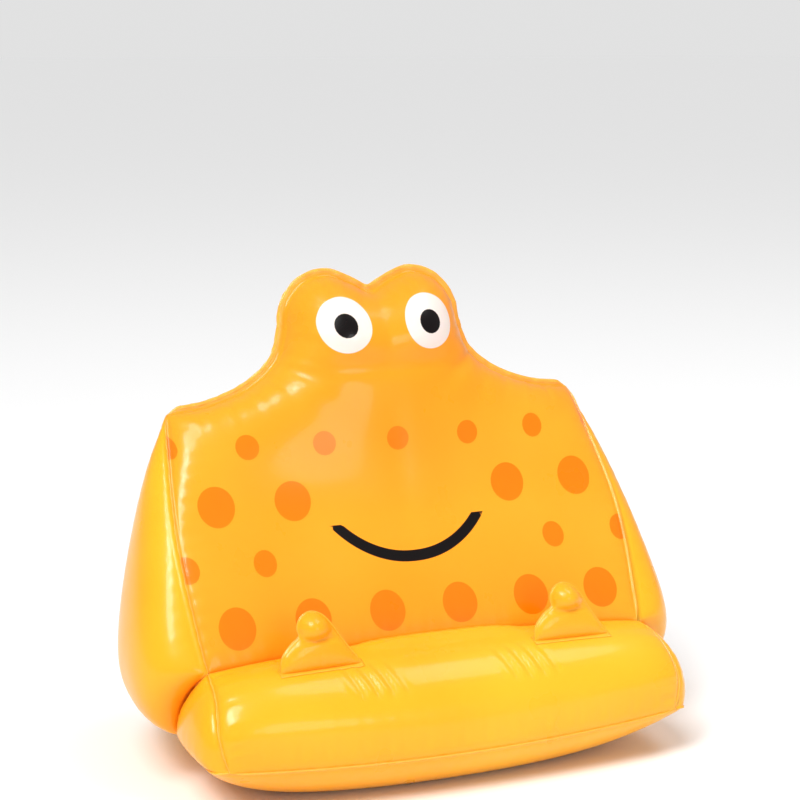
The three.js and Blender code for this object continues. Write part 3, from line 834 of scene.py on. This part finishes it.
def blow_roll():
    even = np.linspace(0, 1, ROLL_COLUMNS)
    u = even - ROLL_CROWD * np.sin(2 * math.pi * even) / (2 * math.pi)
    v = (1 - np.cos(math.pi * np.linspace(0, 1, ROLL_ROWS))) / 2
    points = roll_surface(u, v)
    normal = unit(np.cross(np.gradient(points, axis=0), np.gradient(points, axis=1)))
    if normal[ROLL_ROWS // 2, ROLL_COLUMNS // 2] @ ROLL_SWELL < 0:
        normal = -normal
    points = points + normal * roll_dents(points, v)[:, :, None]
    rims = {key: SEAMS[key].margins(share * SEAMS[key].length) for key, share in roll_shares(u, v).items()}
    wide = roll_margin(points, rims)
    margin = np.ones(wide.shape[:2])
    margin[2:-2, 2:-2] = 0
    flat = wide.reshape(-1, 3)
    faces = outwards(flat, grid_faces(*margin.shape), ROLL_SWELL)
    obj = add_piece(
        "roll_panel_film", flat, faces, "cushion", ["roll_panel"], film, {"margin": margin.ravel()}
    )
    return obj


# ---------------------------------------------------------------- webs inside

WEB_HALF = 101
WEB_ROWS = 9
WEB_TOP_GAP = 1.0
WEB_LOW_GAP = 0.8
TIE_Y = 150.0
TIE_X = 0.01
TIE_SPAN = (122, 186)
TIE_LEVELS = 23
TIE_COLUMNS = 13
TIE_GAP = 1


def surface_tree(obj):
    mesh = obj.data
    return BVHTree.FromPolygons([v.co for v in mesh.vertices], [p.vertices[:] for p in mesh.polygons])


def reach(tree, start, direction):
    """Distance in millimetres from a point in these sizes to a panel."""
    origin = Vector((start + SHIFT) / 1000)
    distance = tree.ray_cast(origin, Vector(direction))[3]
    return (distance or 0) * 1000


def add_web(name, node_name, points, rows, columns):
    """A plain strip of film in a grid of points."""
    values = {"margin": np.zeros(len(points))}
    add_piece(name, points, grid_faces(rows, columns), "cushion", [node_name], film, values)


def add_crease_web(base):
    """The strip of film that holds the crease down to the base."""
    crease = SEAMS["crease"]
    keep = np.abs(crease.points[:, 0]) < WEB_HALF
    top = crease.points[keep] - (0, 0, WEB_TOP_GAP)
    tree = surface_tree(base)
    drop = np.array([reach(tree, p, (0, 0, -1)) - WEB_LOW_GAP for p in top])
    rows = [top - np.outer(drop * share, (0, 0, 1)) for share in np.linspace(0, 1, WEB_ROWS)]
    add_web("crease_web_film", "crease_web", np.vstack(rows), WEB_ROWS, len(top))


def add_centre_tie(face, back):
    """The strip of film that ties the face's middle to the back."""
    ahead, behind = surface_tree(face), surface_tree(back)
    levels = [np.array((TIE_X, TIE_Y, z)) for z in np.linspace(*TIE_SPAN, TIE_LEVELS)]
    front = np.array([p - (0, reach(ahead, p, (0, -1, 0)) - TIE_GAP, 0) for p in levels])
    rear = np.array([p + (0, reach(behind, p, (0, 1, 0)) - TIE_GAP, 0) for p in levels])
    tie = np.vstack([mix(front, rear, share) for share in np.linspace(0, 1, TIE_COLUMNS)])
    add_web("centre_tie_film", "centre_tie_web", tie, TIE_COLUMNS, TIE_LEVELS)


# ---------------------------------------------------------------- claws

CLAW_HALF = 24
CLAW_FOOT = -1.2  # the claws are welded into the roll's film
CLAW = [
    (CLAW_HALF, CLAW_FOOT), (17, 8.5), (11.5, 17), (7.5, 23.5), (2.5, 29), (-4, 31), (-9.5, 28),
    (-11.6, 22.8), (-11, 18.2), (-16, 14.3), (-22, 7.6), (-CLAW_HALF, CLAW_FOOT),
]
ARC_POINTS = 72
FOOT_POINTS = 32
CLAW_LEAN = math.radians(14)
CLAW_LIP = 0.8
FOOT_LIP = 0.25
CLAW_RINGS = (0.5, 1.2)
CLAW_REACH = 6
CLAW_DEPTH = 5
FOLD_Z = 15  # the film dips in a line under the round tip
FOLD_DEPTH = 1.2
FOLD_WIDTH = 1.4
RUCK_DEPTH = 0.45
BALL = (-3, 23.5)  # middle of the round tip
BALL_HALF = (11, 8)
BALL_DEPTH = 7
STRIP_HALF = (0.0246, 0.0036)  # the weld on the roll, in metres along and across
STRIP_LIFT = 0.0004
FOOT_ROWS = 9
FOOT_COLUMNS = 49


def claw_frame(side):
    """The claw's origin in metres and its directions, from its hinge."""
    joint = [j for j in frame["joints"] if j["name"] == f"claw_{side}_flex"][0]
    across = unit(np.array(joint["axis"], float))
    up = np.array((0, math.sin(CLAW_LEAN), math.cos(CLAW_LEAN)))
    up = unit(up - up @ across * across)
    return np.array(joint["pos_m"], float), across, np.cross(up, across), up


def claw_edge():
    """The claw's closed outline, and the offsets of the two rows of its weld margin."""
    arc = curve_through([(x, 0, z) for x, z in CLAW])
    arc = along(arc, np.linspace(0, lengths(arc)[-1], ARC_POINTS))
    foot = np.linspace(-CLAW_HALF, CLAW_HALF, FOOT_POINTS + 2)[1:-1]
    foot = np.stack((foot, np.zeros(FOOT_POINTS), np.full(FOOT_POINTS, CLAW_FOOT)), 1)
    loop = np.vstack((arc, foot))
    ahead = unit(np.roll(loop, -1, axis=0) - np.roll(loop, 1, axis=0))
    out = np.stack((ahead[:, 2], np.zeros(len(loop)), -ahead[:, 0]), 1)
    lip = np.where(np.arange(len(loop)) < ARC_POINTS, CLAW_LIP, FOOT_LIP)
    lip = lip * mix(0.3, 1, smooth(loop[:, 2], 1, 6))
    return loop, [out * (lip * share)[:, None] for share in MARGIN_SHARES]


def claw_height(flat, triangles, loop):
    """How far each point of a claw's film stands off the claw's middle."""
    load = 1 / CLAW_REACH**2
    sheet = Membrane(flat, triangles, len(loop))
    air = np.clip(sheet.solve(np.zeros(len(loop)), load, load), 0, 1) ** 0.55
    x, z = flat[:, 0], flat[:, 1]
    off_middle = ((x - BALL[0]) / BALL_HALF[0]) ** 2 + ((z - BALL[1]) / BALL_HALF[1]) ** 2
    ball = BALL_DEPTH * np.clip(1 - off_middle, 0, 1) ** 0.7
    fold = FOLD_DEPTH * np.exp(-(((z - FOLD_Z) / FOLD_WIDTH) ** 2))
    gap, near = nearest(flat, loop[:, [0, 2]])
    ruck = RUCK_DEPTH * np.exp(-gap / 3) * gap / (gap + 0.8) * waves(lengths(loop)[near], 6, 4)
    return (CLAW_DEPTH + ball - fold) * air + ruck


def claw_half(sign):
    """One film of a claw, in the claw's own directions: across, towards the face, up."""
    loop, offsets = claw_edge()
    flat, triangles = filled(loop[:, [0, 2]], CLAW_STEP, CLAW_RINGS)
    height = claw_height(flat, triangles, loop)
    points = np.stack((flat[:, 0], sign * (EDGE_SHIFT + height), flat[:, 1]), 1)
    edge = loop + (0, sign * EDGE_SHIFT, 0)
    rows = [edge + offset for offset in offsets]
    points, faces, margin = with_margin(points, triangles, rows, 0.5)
    return points, outwards(points, faces, (0, sign, 0)), margin


def add_claw(side):
    """The two films of a claw, set at its hinge in the claw's own directions."""
    origin, across, towards, up = claw_frame(side)
    basis = np.stack((across, towards, up))
    for name, sign in (("front", -1), ("back", 1)):
        points, faces, margin = claw_half(sign)
        place = origin + points @ basis / 1000
        obj = add_piece(
            f"claw_{side}_{name}_film", place, faces, None, [f"claw_{side}_{name}"],
            claw_film, {"margin": margin}, placed=True,
        )
        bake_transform(obj)


def add_claw_foot(side, roll):
    """The strip that welds a claw to the roll, laid on the roll's film."""
    origin, across = claw_frame(side)[:2]
    tree = surface_tree(roll)
    tilt = unit(np.cross(across, (0, 0, 1)))
    half_long, half_deep = STRIP_HALF
    strip = []
    for depth in np.linspace(-half_deep, half_deep, FOOT_ROWS):
        for distance in np.linspace(-half_long, half_long, FOOT_COLUMNS):
            above = origin + across * distance + tilt * depth + np.array((0, 0, 0.02))
            hit, normal = tree.ray_cast(Vector(above), Vector((0, 0, -1)))[:2]
            strip.append(np.array(hit + normal * STRIP_LIFT))
    strip = np.array(strip)
    faces = outwards(strip, grid_faces(FOOT_ROWS, FOOT_COLUMNS), (0, 0, 1))
    add_piece(
        f"claw_{side}_foot_film", strip, faces, "cushion", [f"claw_{side}_foot"], claw_film,
        {"margin": np.full(len(strip), 0.4)}, placed=True,
    )


# ---------------------------------------------------------------- valve

SIDES = 72
VALVE_ORIGIN = VALVE_CENTRE + VALVE_AXIS * 24.55
TAB_HALF = 2.5
STRAP_END = 9.55
SLAB_COLUMNS = 7
SLAB_ROWS = 13
SLAB_ROUND = 0.12
# Closed outlines of the turned pieces, as distance from the valve's axis and height along it.
FLANGE = [
    (6.45, 0.1), (6.45, -14), (7.5, -14), (7.5, 0), (12.6, 0), (13, 0.3), (13, 1.2), (8.5, 1.35),
    (6.9, 1.5), (5.4, 1.5), (5.4, 0.6),
]
STEM = [(6.1, -13), (6.1, -11.5), (5, -11.5), (5, 1.5), (6.5, 1.5), (6.5, 2.5), (3, 2.5), (3, -13)]
CAP = [
    (0, -0.7), (1.6, -0.7), (2.55, 2.8), (6, 2.8), (6, 3.9), (5.6, 4.2), (2.2, 4.25), (1.8, 3.95),
    (0, 3.95),
]
FLAP = [(0, -14.1), (4.2, -14.1), (4.2, -13.3), (0, -13.3)]


def rounded_profile(corners, radius=0.28, steps=4):
    """Rounds the corners of a closed profile of (radius, height) points, except those on the axis."""
    points = []
    count = len(corners)
    for i, corner in enumerate(corners):
        here = np.array(corner, float)
        before, after = np.array(corners[i - 1], float), np.array(corners[(i + 1) % count], float)
        if here[0] < 1e-6:
            points.append(here)
            continue
        back, ahead = before - here, after - here
        cut = min(radius, np.linalg.norm(back) * 0.45, np.linalg.norm(ahead) * 0.45)
        a, b = here + unit(back) * cut, here + unit(ahead) * cut
        for t in np.linspace(0, 1, steps):
            points.append(a * (1 - t) ** 2 + here * 2 * t * (1 - t) + b * t**2)
    return points


def turned(corners):
    """Points and faces of a round piece about the valve's axis."""
    profile = rounded_profile(corners)
    angles = 2 * math.pi * np.arange(SIDES) / SIDES
    points = []
    for r, w in profile:
        points.append(np.stack((r * np.cos(angles), r * np.sin(angles), np.full(SIDES, w)), 1))
    points = np.vstack(points)
    faces = []
    count = len(profile)
    for k in range(count):
        a, b = k * SIDES, (k + 1) % count * SIDES
        if profile[k][0] < 1e-6 and profile[(k + 1) % count][0] < 1e-6:
            continue
        for i in range(SIDES):
            j = (i + 1) % SIDES
            faces.append([a + i, a + j, b + j, b + i])
    return points, faces


def valve_place(points):
    side = np.array((1.0, 0, 0))
    up = np.cross(VALVE_AXIS, side)
    return VALVE_ORIGIN + points @ np.stack((side, up, VALVE_AXIS))


def slab(low, high):
    """A flat strap with rounded edges, between two opposite corners."""
    across = np.linspace(low[0], high[0], SLAB_COLUMNS)
    rows = []
    for y in np.linspace(low[1], high[1], SLAB_ROWS):
        top = [(x, y, high[2] - SLAB_ROUND * (abs(x) / high[0]) ** 6) for x in across]
        under = [(x, y, low[2] + SLAB_ROUND * (abs(x) / high[0]) ** 6) for x in across[::-1]]
        rows.append(top + under)
    points = np.array(rows).reshape(-1, 3)
    ring = 2 * SLAB_COLUMNS
    faces = []
    for k in range(SLAB_ROWS - 1):
        for i in range(ring):
            j = (i + 1) % ring
            faces.append([k * ring + i, k * ring + j, (k + 1) * ring + j, (k + 1) * ring + i])
    faces.append(list(range(ring)))
    faces.append(list(range((SLAB_ROWS - 1) * ring, SLAB_ROWS * ring))[::-1])
    return points, faces


def joined(*parts):
    points, faces = [], []
    offset = 0
    for part_points, part_faces in parts:
        points.append(part_points)
        faces += [[i + offset for i in face] for face in part_faces]
        offset += len(part_points)
    return np.vstack(points), faces


def add_valve_piece(name, body, parts):
    points, faces = joined(*parts)
    obj = add_piece(
        f"{name}_moulded", valve_place(points), faces, body, [name], valve_plastic, thick=0
    )
    tidy_normals(obj)


def tidy_normals(obj):
    """Merges doubled points and faces every wall outwards."""
    shape = bmesh.new()
    shape.from_mesh(obj.data)
    bmesh.ops.remove_doubles(shape, verts=shape.verts, dist=1e-6)
    bmesh.ops.recalc_face_normals(shape, faces=shape.faces)
    shape.to_mesh(obj.data)
    shape.free()
    obj.data.shade_smooth()


def add_valve():
    add_valve_piece("valve_flange", "cushion", [turned(FLANGE)])
    tab = slab((-TAB_HALF, 5.6, 1.5), (TAB_HALF, 10.2, 2.5))
    add_valve_piece("valve_stem", "stem", [turned(STEM), tab])
    strap = slab((-TAB_HALF, 5.1, 2.8), (TAB_HALF, STRAP_END, 3.5))
    add_valve_piece("valve_plug", "plug", [turned(CAP), strap])
    add_valve_piece("valve_flap", "flap", [turned(FLAP)])


# ---------------------------------------------------------------- build


face_piece = blow_face()
back_piece = blow_back()
base_piece = blow_base()
roll_piece = blow_roll()
for side_name, side_sign in (("left", -1), ("right", 1)):
    blow_gusset(side_name, side_sign)
    blow_end(side_name, side_sign)
    add_claw(side_name)
    add_claw_foot(side_name, roll_piece)
add_crease_web(base_piece)
add_centre_tie(face_piece, back_piece)
add_valve()

# ---------------------------------------------------------------- floor, light and camera

FLOOR_HALF = 60.0  # metres
FLOOR_DROP = 0.0004
SURROUND_GLOW = 0.4  # light that the object gets from all round
BACKDROP_GLOW = 0.757  # as bright as the lit floor, so that the two meet without a line
LIGHT_TARGET = (0, 60, 110)
LIGHTS = [  # name, place, size in metres and power in watts
    ("key", (-1700, -1200, 2200), 1.0, 34),
    ("top", (900, -300, 2400), 1.2, 14),
    ("front", (300, -2600, 900), 1.0, 9),
]
SUN_PLACE = (-420, -380, 1000)
SUN_STRENGTH = 1.6
SUN_WIDTH = math.radians(26)
CAMERA_PLACE = (-421.8, -950.9, 417.3)
CAMERA_TARGET = (2.4, 100, 208.4)
CAMERA_LENS = 86.8


def metres(x, y, z):
    return Vector((np.array((x, y, z)) + SHIFT) / 1000)


def aim(obj, target):
    obj.rotation_euler = (target - obj.location).to_track_quat("-Z", "Y").to_euler()


def add_light(name, place, size, power):
    light = bpy.data.lights.new(name, "AREA")
    light.shape = "DISK"
    light.size = size
    light.energy = power
    obj = bpy.data.objects.new(name, light)
    bpy.context.collection.objects.link(obj)
    obj.location = metres(*place)
    aim(obj, metres(*LIGHT_TARGET))


def add_sun():
    light = bpy.data.lights.new("sky", "SUN")
    light.energy = SUN_STRENGTH
    light.angle = SUN_WIDTH
    obj = bpy.data.objects.new("sky", light)
    bpy.context.collection.objects.link(obj)
    obj.location = Vector(SUN_PLACE) / 1000
    aim(obj, Vector((0, 0, 0)))


def add_floor():
    mesh = bpy.data.meshes.new("floor")
    corners = [(x * FLOOR_HALF, y * FLOOR_HALF, 0) for x, y in ((-1, -1), (1, -1), (1, 1), (-1, 1))]
    mesh.from_pydata(corners, [], [(0, 1, 2, 3)])
    mesh.materials.append(new_material("floor", FLOOR_LOOK)[0])
    floor = bpy.data.objects.new("floor", mesh)
    floor.location.z = -FLOOR_DROP
    bpy.context.collection.objects.link(floor)


def add_world():
    world = bpy.data.worlds.new("studio")
    world.use_nodes = True
    background = world.node_tree.nodes["Background"]
    background.inputs["Color"].default_value = (1, 1, 1, 1)
    seen = node(world.node_tree, "ShaderNodeLightPath").outputs["Is Camera Ray"]
    strength = ranged(world.node_tree, seen, 0, 1, SURROUND_GLOW, BACKDROP_GLOW)
    world.node_tree.links.new(strength, background.inputs["Strength"])
    bpy.context.scene.world = world


def add_camera():
    camera = bpy.data.cameras.new("camera")
    camera.lens = CAMERA_LENS
    obj = bpy.data.objects.new("camera", camera)
    bpy.context.collection.objects.link(obj)
    obj.location = metres(*CAMERA_PLACE)
    aim(obj, metres(*CAMERA_TARGET))
    bpy.context.scene.camera = obj


add_floor()
add_world()
add_sun()
for light_settings in LIGHTS:
    add_light(*light_settings)
add_camera()
bpy.context.scene.view_settings.view_transform = "Standard"
